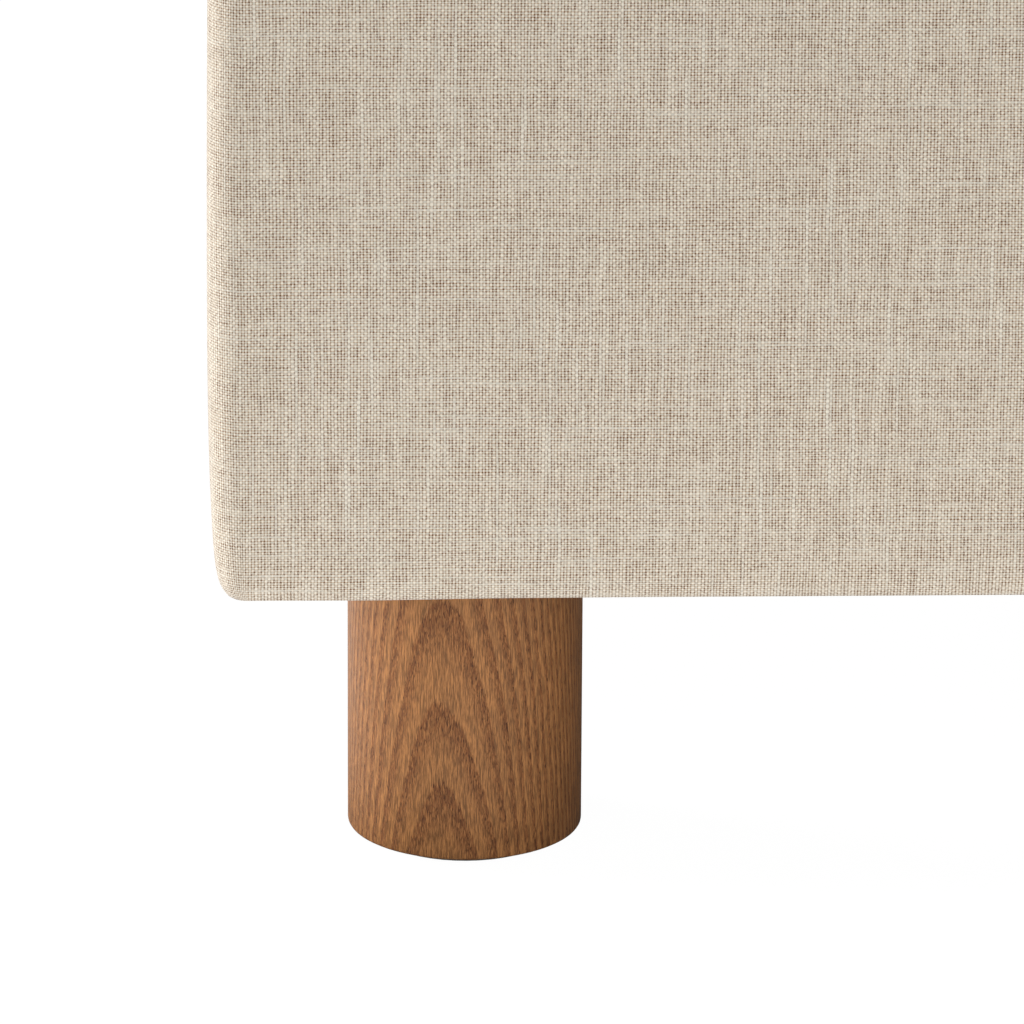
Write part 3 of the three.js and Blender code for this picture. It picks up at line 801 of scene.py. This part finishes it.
# ---- the lid's cushion ----
lid_low, lid_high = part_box("lid_cover")
LID_HALF_X = lid_high.x
LID_HALF_Y = (lid_high.y - lid_low.y) / 2
LID_EDGE = 18 * MM  # the rounding of its shoulder and upright corners
LID_LOWER_EDGE = 5 * MM
LID_SHOULDER = lid_high.z - 7 * MM
LID_MIDDLE = (lid_low.z + LID_SHOULDER) / 2
LID_SEAM_WIDTH = 1.4 * MM
LID_SEAM_DEPTH = 0.8 * MM
LID_SEAM_END = (LID_SHOULDER - 28 * MM, LID_SHOULDER - 8 * MM)
LID_CROWN = 4 * MM
LID_HEM = 45 * MM  # the width of the cloth that is folded under
LID_BOARD_INSET = 7.4 * MM
MOST_SWELLING = 6 * MM
CORNER_SINK = 3 * MM
CORNER_SINK_REACH = 45 * MM
LID_BOARD_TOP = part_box("lid_board")[1].z


def lid_lines(half):
    """Grid lines from -half to half, closest near the ends and either side of the board's edge."""
    border = [0, 0.8, 2, 4.2, 7.2, 7.6, 10.5, 14, 18, 23, 29, 36, 45]
    rest = graded(half / MM - border[-1], 10, 13)
    insets = [*border, *(border[-1] + distance for distance in rest[1:-1])]
    return [inset * MM - half for inset in insets] + [half - inset * MM for inset in insets[::-1]]


def squared_to_round(a, b):
    """Takes a square's corner region to a quarter disc: the square's straight edges become arcs."""
    length = math.hypot(a, b)
    return (a, b) if length == 0 else (a * max(a, b) / length, b * max(a, b) / length)


def lid_place(x, y, z):
    """A point on the plain block's surface, taken to the rounded and crowned cushion. A seam pulls
    each upright corner in."""
    from_seam = (LID_HALF_X - abs(x)) + (LID_HALF_Y - abs(y))
    seam = math.exp(-((from_seam / LID_SEAM_WIDTH) ** 2)) * (1 - smooth(z, *LID_SEAM_END))
    beyond_x = max(abs(x) - (LID_HALF_X - LID_EDGE), 0)
    beyond_y = max(abs(y) - (LID_HALF_Y - LID_EDGE), 0)
    round_x, round_y = squared_to_round(beyond_x, beyond_y)
    out = math.hypot(round_x, round_y)
    edge = LID_EDGE if z > LID_MIDDLE else LID_LOWER_EDGE
    rise = max(z - (LID_SHOULDER - edge), (lid_low.z + edge) - z, 0)
    rounded_out, rounded_rise = squared_to_round(max(out - (LID_EDGE - edge), 0), rise)
    if rise > 0 and out > LID_EDGE - edge:
        new_out = LID_EDGE - edge + rounded_out
        lift = rounded_rise - rise
        z += lift if z > LID_MIDDLE else -lift
        round_x, round_y = (value * new_out / out for value in (round_x, round_y))
    round_x -= seam * LID_SEAM_DEPTH
    round_y -= seam * LID_SEAM_DEPTH
    x = math.copysign(abs(x) - beyond_x + round_x, x)
    y = math.copysign(abs(y) - beyond_y + round_y, y)
    crown = (1 - (x / LID_HALF_X) ** 4) * (1 - (y / LID_HALF_Y) ** 4)
    crown *= smooth(z, lid_low.z + 10 * MM, LID_SHOULDER)
    return Vector((x, CENTRE_Y + y, z + LID_CROWN * crown))


def folded_side(x, y):
    """The side whose cloth is folded under the lid at a place: its axis, and which end of it."""
    nearer_x = LID_HALF_X - abs(x) < LID_HALF_Y - abs(y)
    return (0, math.copysign(1, x)) if nearer_x else (1, math.copysign(1, y))


def lid_shell():
    """The cushion's closed surface on a grid, with its cloth map: one sheet, cut out at the
    corners, so the cloth on a side or under the lid carries straight on from the top."""
    levels = [lid_low.z + h * MM for h in (0, 0.8, 2.2, 5, 10, 18, 28, 40, 52, 62, 70)]
    levels += [LID_SHOULDER - h * MM for h in (18, 15, 12, 9, 6, 3, 0)]
    lines = (lid_lines(LID_HALF_X), lid_lines(LID_HALF_Y), levels)
    last = [len(line) - 1 for line in lines]
    form = bmesh.new()
    cloth_map = form.loops.layers.uv.new(CLOTH_MAP)
    made = {}

    def vertex(key):
        if key not in made:
            made[key] = form.verts.new(lid_place(*(line[k] for line, k in zip(lines, key))))
        return made[key]

    def cloth_place(key, axis, sign):
        x, y, z = (line[k] for line, k in zip(lines, key))
        if axis == 2:
            return (x, y)
        half = (LID_HALF_X, LID_HALF_Y)[axis]
        drop = LID_SHOULDER - z + half - abs((x, y)[axis])
        return (sign * (half + drop), y) if axis == 0 else (x, sign * (half + drop))

    for axis in range(3):
        first, second = (other for other in range(3) if other != axis)
        for end, i, j in product((0, last[axis]), range(last[first]), range(last[second])):
            keys = []
            for step_i, step_j in ((0, 0), (1, 0), (1, 1), (0, 1)):
                key = [end, end, end]
                key[first] = i + step_i
                key[second] = j + step_j
                keys.append(tuple(key))
            side = (axis, 1 if end else -1)
            if axis == 2 and end == 0:
                side = folded_side(*((line[k] + line[k + 1]) / 2 for line, k in zip(lines, (i, j))))
            face = form.faces.new([vertex(key) for key in keys])
            for loop, key in zip(face.loops, keys):
                loop[cloth_map].uv = cloth_place(key, *side)
    return form


SIMULATED_FRAMES = 20


def swell(piece, pinned, pressure, limit):
    """Inflates a closed skin by cloth simulation. No point moves by more than limit of it."""
    start = [vertex.co.copy() for vertex in piece.data.vertices]
    group = piece.vertex_groups.new(name="pinned")
    group.add(pinned, 1.0, "REPLACE")
    cloth = piece.modifiers.new("cloth", "CLOTH")
    cloth.settings.quality = 5
    cloth.settings.mass = 0.3
    cloth.settings.use_pressure = True
    cloth.settings.uniform_pressure_force = pressure
    cloth.settings.vertex_group_mass = group.name
    cloth.settings.effector_weights.gravity = 0
    for number in range(1, SIMULATED_FRAMES + 1):
        bpy.context.scene.frame_set(number)
    swollen = piece.evaluated_get(bpy.context.evaluated_depsgraph_get()).data
    ends = [vertex.co.copy() for vertex in swollen.vertices]
    piece.modifiers.remove(cloth)
    piece.vertex_groups.remove(group)
    bpy.context.scene.frame_set(1)
    for vertex, before, after in zip(piece.data.vertices, start, ends):
        move = after - before
        most = limit(before)
        if move.length > 0 and most > 0:
            vertex.co = before + move.normalized() * most * math.tanh(move.length / most)


def from_sides(co):
    """How far in a point is from the lid's nearer end, and from its nearer long side."""
    return LID_HALF_X - abs(co.x), LID_HALF_Y - abs(co.y - CENTRE_Y)


def most_swelling(co):
    """The foam gives least at the board and at the upright corners."""
    free = smooth(max(from_sides(co)), 0, 70 * MM) * 0.75 + 0.25
    return MOST_SWELLING * free * smooth(co.z, lid_low.z, lid_low.z + 40 * MM)


lid_cover = from_bmesh("linen_lid_cover", lid_shell(), LINEN, sharp=75)
resting = [v.index for v in lid_cover.data.vertices if v.co.z < lid_low.z + 4 * MM]
swell(lid_cover, resting, pressure=4, limit=most_swelling)
top = max(vertex.co.z for vertex in lid_cover.data.vertices)
for vertex in lid_cover.data.vertices:
    co = vertex.co
    sink = CORNER_SINK * math.exp(-((math.hypot(*from_sides(co)) / CORNER_SINK_REACH) ** 2))
    lift = lid_high.z - top - sink + 0.35 * MM * ripple(co, 0.11, 3)
    co.z += lift * smooth(co.z, LID_SHOULDER - LID_EDGE, top)

padding_form = editable(lid_cover.data)
padding_form.normal_update()
for vertex in padding_form.verts:
    inset = min(from_sides(vertex.co))
    underneath = vertex.co.z < lid_low.z + 0.3 * MM
    vertex.co -= vertex.normal * UNDER_COVER
    if underneath and inset > LID_BOARD_INSET:
        vertex.co.z = LID_BOARD_TOP + 0.3 * MM
lid_padding = from_bmesh("lid_padding", padding_form, FOAM)
install(lid_padding, "lid", "foam", "lid_foam")

hem_form = editable(lid_cover.data)
inside = [
    face
    for face in hem_form.faces
    if face.calc_center_median().z < lid_low.z + 0.5 * MM
    and min(from_sides(face.calc_center_median())) > LID_HEM
]
bmesh.ops.delete(hem_form, geom=inside, context="FACES")
hem_form.to_mesh(lid_cover.data)
hem_form.free()
thickened(lid_cover, COVER_THICKNESS)
install(lid_cover, "lid", "linen_upholstery", "lid_cover")


# ---- linings and dust cover ----
def stretched(piece, node, body, slot, thickness):
    """Gives a sheet its thickness and puts it on the body, in place of a node."""
    thickened(piece, thickness)
    install(piece, body, slot, node)


def flat_sheet(name, material, lie, node, body, slot, thickness, keep=None, corner=0.0):
    """A flat cloth over its node's box. lie gives its height from x, y and the distance to its
    edge, and corner is how far its corners are cut back."""
    low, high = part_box(node)
    size = (high.x - low.x, high.y - low.y)
    xs, ys = (
        [start + d for d in graded_both_ways(length, fine=0.7 * MM, coarse=14 * MM)]
        for start, length in zip(low, size)
    )
    middle = (low + high) / 2
    reach = (high - low) / 2
    rows = []
    for y in ys:
        row = []
        for x in xs:
            edge = min(reach.x - abs(x - middle.x), reach.y - abs(y - middle.y))
            past_x = max(abs(x - middle.x) - (reach.x - corner), 0)
            past_y = max(abs(y - middle.y) - (reach.y - corner), 0)
            cut = max(past_x, past_y) / (past_x + past_y) if past_x and past_y else 1
            place_x = x - math.copysign(past_x * (1 - cut), x - middle.x)
            place_y = y - math.copysign(past_y * (1 - cut), y - middle.y)
            row.append((place_x, place_y, lie(x, y, edge)))
        rows.append(row)
    cloth = cloth_grid(name, rows, xs, ys, material, keep=keep)
    stretched(cloth, node, body, slot, thickness)


DUST_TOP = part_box("dust_cover")[1].z
LID_LINING_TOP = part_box("lid_lining")[1].z
BOLT_CLEARANCE = 9 * MM
bolts = [middle_of(f"{end}_{side}_hanger_bolt").xy for end, side in CORNERS]


def dust_lie(x, y, edge):
    near_leg = min((Vector((x, y)) - bolt).length for bolt in bolts)
    free = smooth(edge, 8 * MM, 50 * MM) * smooth(near_leg, 45 * MM, 90 * MM)
    sag = 1.5 * MM * (0.6 + 0.4 * ripple((x, y, 0), 0.16, 7))
    return DUST_TOP - 0.1 * MM - sag * free


def clear_of_bolts(place):
    return all((place.xy - bolt).length > BOLT_CLEARANCE for bolt in bolts)


flat_sheet(
    "spunbond_dust_cover", SPUNBOND, dust_lie, "dust_cover", "base", "black_cloth",
    thickness=0.5 * MM, keep=clear_of_bolts,
)


def lid_lining_lie(x, y, edge):
    fold = 0.25 * MM * (1 - smooth(edge, 9 * MM, 10 * MM))
    pull = 0.12 * MM * ripple((x, y, 0), 0.09, 11) * smooth(edge, 4 * MM, 20 * MM)
    return LID_LINING_TOP - 0.15 * MM - fold + pull


flat_sheet(
    "lid_lining_cloth", LINING, lid_lining_lie, "lid_lining", "lid", "lining_cloth",
    thickness=0.45 * MM,
)

floor_low, floor_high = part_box("floor_board")
BOARD_ROUNDING = 2.5 * MM
BOARD_CUT = 20.5 * MM  # its corners clear the glue blocks
CLOTH_OVERHANG = 3 * MM  # from the board's edge to its cloth's


def floor_lie(x, y, edge):
    """The cloth lies on the floor board, and turns down round its edge."""
    past = max(1 - edge / BOARD_ROUNDING, 0)
    turned_down = (floor_high.z - floor_low.z - 1 * MM) * (1 - math.sqrt(1 - past * past))
    quilting = 0.25 * MM * (1 + ripple((x, y, 0), 0.05, 2)) * smooth(edge, 0, 30 * MM)
    return floor_high.z - 0.6 * MM - turned_down + quilting


flat_sheet(
    "floor_board_cloth", LINING, floor_lie, "floor_board", "base", "lining_cloth",
    thickness=0.8 * MM, corner=BOARD_CUT,
)
board_x = floor_high.x - CLOTH_OVERHANG
board_y = (floor_high.y - floor_low.y) / 2 - CLOTH_OVERHANG
outline = [(x, CENTRE_Y + y) for x, y in cut_outline(board_x, board_y, BOARD_CUT)]
form = bmesh.new()
add_plate(form, outline, floor_low.z, floor_high.z - 1.7 * MM)
install(from_bmesh("floor_board_core", form, PLYWOOD, sharp=30), "base", "plywood")

# The wall lining: its visible face, and the cut of its corners over the glue blocks.
LINING_X = 421.3 * MM
LINING_Y = 217.8 * MM
LINING_CUT = 19.5 * MM
HEM = 12 * MM
lining_low, lining_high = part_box("wall_lining")
BRACKET = Vector((LINING_X, *middle_of("left_lower_bracket").yz))


def lining_stations():
    """Places round the box's inside, counter-clockwise from the middle of the back: (x, y, the way
    to the wall)."""
    corners = [Vector(corner) for corner in cut_outline(LINING_X, LINING_Y, LINING_CUT)]
    back = Vector((0, LINING_Y))
    stops = [back, *corners[2:], *corners[:2], back]
    stations = []
    for start, end in zip(stops, stops[1:]):
        run = end - start
        wall = Vector((run.y, -run.x)).normalized()
        for distance in graded_both_ways(run.length, 2 * MM, 14 * MM)[:-1]:
            stations.append((start + run * (distance / run.length), wall))
    return stations


def lining_column(flat_place, wall):
    height = lining_high.z - lining_low.z
    column = []
    for drop in graded_both_ways(height, 1.5 * MM, 14 * MM):
        z = lining_high.z - drop
        place = Vector((*flat_place, z))
        from_bracket = (Vector((abs(place.x), place.y, z)) - BRACKET).length
        clear = smooth(from_bracket, 30 * MM, 80 * MM)
        slack = smooth(drop, HEM, 60 * MM) * smooth(height - drop, 5 * MM, 40 * MM) * clear
        proud = 0.7 * MM * slack * (1 + ripple(place, 0.10, 4))
        proud += 0.35 * MM * (1 - smooth(drop, HEM - 1 * MM, HEM)) - 0.1 * MM
        spot = flat_place - wall * proud
        column.append((spot.x, CENTRE_Y + spot.y, z))
    return column


stations = lining_stations()
lining_outline = [tuple(place) for place, _ in stations]
around = lengths_along([*lining_outline, lining_outline[0]])
lining_columns = [lining_column(*station) for station in stations]
wall_lining = wrapped_sheet("wall_lining_cloth", lining_columns, around, LINING)
stretched(
    wall_lining, "wall_lining", "base", "lining_cloth", 0.9 * MM,
)


# ---- stitches and staples ----
BAR = [(0, -1), (0.4, -1), (1, -0.75), (1.1, 0), (1, 0.75), (0.4, 1), (0, 1)]  # half sizes


def bars_along(form, line, away, spacing, length, width, height):
    """Adds rounded bars along a closed line on a surface, end to end with gaps. away gives the
    direction away from the surface, from the line's own direction."""
    for start, end in zip(line, [*line[1:], line[0]]):
        run = Vector(end) - Vector(start)
        along = run.normalized()
        out = Vector(away(run)).normalized()
        axes = (out.cross(along) * width / 2, out * height / 2, along * length / 2)
        lying = Matrix(axes).transposed().to_4x4()
        count = int(run.length / spacing)
        for number in range(count):
            middle = Vector(start) + run * ((number + 0.5) / count)
            turned(form, BAR, Matrix.Translation(middle) @ lying, segments=8)


def staples(name, node, body, inset, proud, spacing, size):
    """Staples along the edge of a sheet, on its lower side. size is length, width and height."""
    low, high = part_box(node)
    x0, x1, y0, y1 = low.x + inset, high.x - inset, low.y + inset, high.y - inset
    z = low.z + proud
    form = bmesh.new()
    line = [(x0, y0, z), (x1, y0, z), (x1, y1, z), (x0, y1, z)]
    bars_along(form, line, lambda run: (0, 0, -1), spacing, *size)
    install(from_bmesh(name, form, STAPLE_WIRE), body, "zinc_steel")


form = bmesh.new()
SEAM = 0.5 * MM  # how far the stitched line is proud of the lining's flat face
corner_line = [
    (place.x - wall.x * SEAM, CENTRE_Y + place.y - wall.y * SEAM, lining_high.z - HEM + 2.5 * MM)
    for (place, wall), (_, next_wall) in zip(stations, [*stations[1:], stations[0]])
    if (wall - next_wall).length > 0.1
]
bars_along(
    form, corner_line, lambda run: (-run.y, run.x, 0),
    spacing=5 * MM, length=3.4 * MM, width=0.7 * MM, height=0.4 * MM,
)
install(from_bmesh("lining_hem_stitches", form, THREAD), "base", "lining_cloth")

staples(
    "dust_cover_staples", "dust_cover", "base", inset=6 * MM, proud=0.1 * MM,
    spacing=42 * MM, size=(11 * MM, 1.1 * MM, 0.6 * MM),
)
staples(
    "lid_lining_staples", "lid_lining", "lid", inset=5 * MM, proud=0.0,
    spacing=38 * MM, size=(10 * MM, 1.0 * MM, 0.5 * MM),
)


# ---- hinges and screws ----
def cross(radius):
    """A cross's outline, as a function of the angle."""
    return lambda angle: radius * (0.32 + 0.68 * math.cos(2 * angle) ** 6)


def recess(mouth, floor):
    """The end of a screw's profile: a cross-shaped hole, narrowing from its mouth to its floor."""
    return [(cross(mouth[0]), mouth[1]), (cross(floor[0]), floor[1]), (0, floor[1])]


def pointing(place, direction):
    """A frame at the place with Z along the direction."""
    turn = Vector(direction).to_track_quat("Z", "Y")
    return Matrix.LocRotScale(Vector(place), turn, None)


def countersunk(radius):
    """A flat head's profile in mm, its top at 0."""
    outside = [(0, -2.4), (1.2, -2.4), (radius, -0.35), (radius - 0.15, 0)]
    return outside + recess((radius * 0.66, 0), (radius * 0.42, -1.1))


def pan_head(radius):
    """A raised head's profile in mm, from the surface that it sits on."""
    outside = [(0, -0.2), (radius, -0.2), (radius, 0.5), (radius * 0.86, 1.15), (radius * 0.6, 1.5)]
    return outside + recess((radius * 0.58, 1.55), (radius * 0.36, 0.5))


def screws(name, body, profile, places, direction):
    """Screw heads from a profile in mm, at the places, all facing one way."""

    def in_metres(radius):
        return (lambda angle: radius(angle) * MM) if callable(radius) else radius * MM

    scaled = [(in_metres(radius), z * MM) for radius, z in profile]
    form = bmesh.new()
    for place in places:
        turned(form, scaled, pointing(place, direction), segments=40)
    install(from_bmesh(name, form, ZINC), body, "zinc_steel")


KNUCKLE_RADIUS = 3.2 * MM
KNUCKLE_EASE = 0.2 * MM
PIN_HOLE = 1.75 * MM
PLAY = 0.4 * MM  # between two knuckles
LEAF_FACES = (1.8 * MM, 0.2 * MM)  # how far a leaf's two faces are from the pin's middle
LEAF_SCREWS = ((-20, 8), (0, 14), (20, 8))  # from the leaf's middle and from its far edge, in mm
LEAF_HOLE = 3.7 * MM


def knuckle_section(length):
    outer = KNUCKLE_RADIUS - KNUCKLE_EASE
    return [
        (PIN_HOLE, 0), (outer, 0), (KNUCKLE_RADIUS, KNUCKLE_EASE),
        (KNUCKLE_RADIUS, length - KNUCKLE_EASE), (outer, length), (PIN_HOLE, length), (PIN_HOLE, 0),
    ]


def hinge_leaf(side, level, body):
    """One leaf of a butt hinge: a drilled plate, the knuckles round the pin, and three screws."""
    name = f"{side}_hinge_{level}_leaf"
    low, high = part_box(name)
    pin = middle_of(f"{side}_hinge_pin")
    facing = 1 if level == "lower" else -1
    half = (high.x - low.x) / 2
    third = half / 3
    knuckles = [(-half, -third), (third, half)] if level == "lower" else [(-third, third)]
    inner_face, outer_face = (pin.z - facing * distance for distance in LEAF_FACES)
    levels = sorted((inner_face, outer_face))
    root = pin.y - KNUCKLE_RADIUS - 0.3 * MM
    holes = [(pin.x + x * MM, low.y + y * MM) for x, y in LEAF_SCREWS]
    form = bmesh.new()
    plate = rounded_outline(low.x, high.x, low.y, root, 2.5 * MM)
    add_plate(form, plate, *levels, holes, LEAF_HOLE)
    for start, end in knuckles:
        start = pin.x + start + (PLAY / 2 if start > -half else 0)
        end = pin.x + end - (PLAY / 2 if end < half else 0)
        add_plate(form, rounded_outline(start, end, root - 1 * MM, pin.y, 0.2 * MM), *levels)
        axis = pointing((start, pin.y, pin.z), (1, 0, 0))
        turned(form, knuckle_section(end - start), axis, segments=32)
    leaf = from_bmesh(f"{side}_{level}_hinge_leaf", form, ZINC, sharp=35)
    install(leaf, body, "zinc_steel", name)
    heads = [(x, y, outer_face - facing * 0.05 * MM) for x, y in holes]
    screws(f"{side}_{level}_hinge_screws", body, countersunk(3.45), heads, (0, 0, facing))


# The struts' bracket plates, on the walls and under the lid: where their faces are, and how far
# each of their two screws is from the plate's middle.
WALL_PLATE_X = 418.7 * MM
WALL_SCREWS = (-13.5 * MM, 13.5 * MM)
LID_PLATE_X = 403.5 * MM
LID_PLATE_Z = 336.0 * MM
LID_SCREWS = (-16.5 * MM, 16.5 * MM)

for side, sign in SIDES.items():
    hinge_leaf(side, "lower", "base")
    hinge_leaf(side, "upper", "lid")
    _, y, z = middle_of(f"{side}_lower_bracket")
    heads = [(sign * WALL_PLATE_X, y, z + offset) for offset in WALL_SCREWS]
    screws(f"{side}_lower_bracket_screws", "base", pan_head(3.3), heads, (-sign, 0, 0))
    y = middle_of(f"{side}_upper_bracket").y
    heads = [(sign * LID_PLATE_X, y + offset, LID_PLATE_Z) for offset in LID_SCREWS]
    screws(f"{side}_upper_bracket_screws", "lid", pan_head(3.3), heads, (0, 0, -1))


# ---- every CAD node that keeps its shape gets its finish ----
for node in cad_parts.values():
    finish = NODE_FINISHES.get(node.material_slots[0].material.name)
    if finish and not node.hide_render:
        node.material_slots[0].material = finish


# ---- room, light, camera ----
FLOOR_WHITE = 0.985  # the floor's brightness where the camera sees it
FLOOR_GLOW = 0.60  # the floor's painted glow that lights the object: far out, a painted shadow under it, and a painted pool of light close round it
FLOOR_SHADE = 0.08
NEAR_GLOW = 0.75
SKY_GLOW = 0.20
CAMERA_PLACE = (-0.4422, -2.7024, 0.9988)


def plain_floor():
    """A pale floor that all but glows, so that the object stands on white with hardly a shadow. Its
    glow on the object is painted light: a painted shadow under the object and a painted pool of
    light round it.
    """
    floor = Finish("pale_floor", (0.05, 0.05, 0.05), Specular_IOR_Level=0.0)
    floor.shader.inputs["Emission Color"].default_value = (1, 1, 1, 1)
    seen = floor.source("ShaderNodeLightPath", "Is Camera Ray")
    x, y, _ = floor.source("ShaderNodeTexCoord", "Object").axes()
    beyond_side = x.math("ABSOLUTE") - BOX_WRAP.half_x
    beyond_front = (y - CENTRE_Y).math("ABSOLUTE") - BOX_WRAP.half_y
    beyond = beyond_side.math("MAXIMUM", beyond_front)
    # Painted shadow under the object's footprint, and a painted pool of light close round it, in
    # the glow that lights the object.
    painted_bounce = beyond.step(-0.10, 0.12) * (FLOOR_GLOW - FLOOR_SHADE) + FLOOR_SHADE
    painted_bounce = painted_bounce + beyond.step(-0.05, 0.05) * (1 - beyond.step(0.1, 0.5)) * NEAR_GLOW
    plug(painted_bounce + seen * (FLOOR_WHITE - painted_bounce), floor.shader.inputs["Emission Strength"])
    form = bmesh.new()
    bmesh.ops.create_grid(form, x_segments=1, y_segments=1, size=30)
    mesh = bpy.data.meshes.new("floor")
    form.to_mesh(mesh)
    form.free()
    return finished("floor", mesh, floor.material)


plain_floor()

world = bpy.data.worlds.new("studio")
world.use_nodes = True
bpy.context.scene.world = world
background = world.node_tree.nodes["Background"]
background.inputs["Color"].default_value = (1, 1, 1, 1)
seen_directly = Signal(world.node_tree.nodes.new("ShaderNodeLightPath").outputs["Is Camera Ray"])
plug(SKY_GLOW + seen_directly * (1 - SKY_GLOW), background.inputs["Strength"])


def sun(name, direction, strength, softness):
    """A soft light from far away. direction points from the object to the light."""
    light = bpy.data.lights.new(name, "SUN")
    light.energy = strength
    light.angle = math.radians(softness)
    lamp = bpy.data.objects.new(name, light)
    lamp.rotation_euler = Vector(direction).to_track_quat("Z", "Y").to_euler()
    bpy.context.scene.collection.objects.link(lamp)


sun("front", (-0.05, -1, 0.30), strength=1.35, softness=60)
sun("side", (-0.951, 0.309, 0.25), strength=3.3, softness=20)
sun("overhead", (0, 0, 1), strength=1.4, softness=40)

bpy.context.scene.view_settings.view_transform = "Standard"


def photo_camera():
    data = bpy.data.cameras.new("camera")
    data.sensor_width = 36
    data.lens = 318.1
    pitch = math.radians(19.55)
    yaw = math.radians(1.88)
    roll = math.radians(0.29)
    turn = Matrix.Rotation(-yaw, 4, "Z") @ Matrix.Rotation(math.pi / 2 - pitch, 4, "X")
    turn = turn @ Matrix.Rotation(roll, 4, "Z")
    camera = bpy.data.objects.new("camera", data)
    camera.matrix_world = Matrix.Translation(CAMERA_PLACE) @ turn
    bpy.context.scene.collection.objects.link(camera)
    bpy.context.scene.camera = camera


photo_camera()
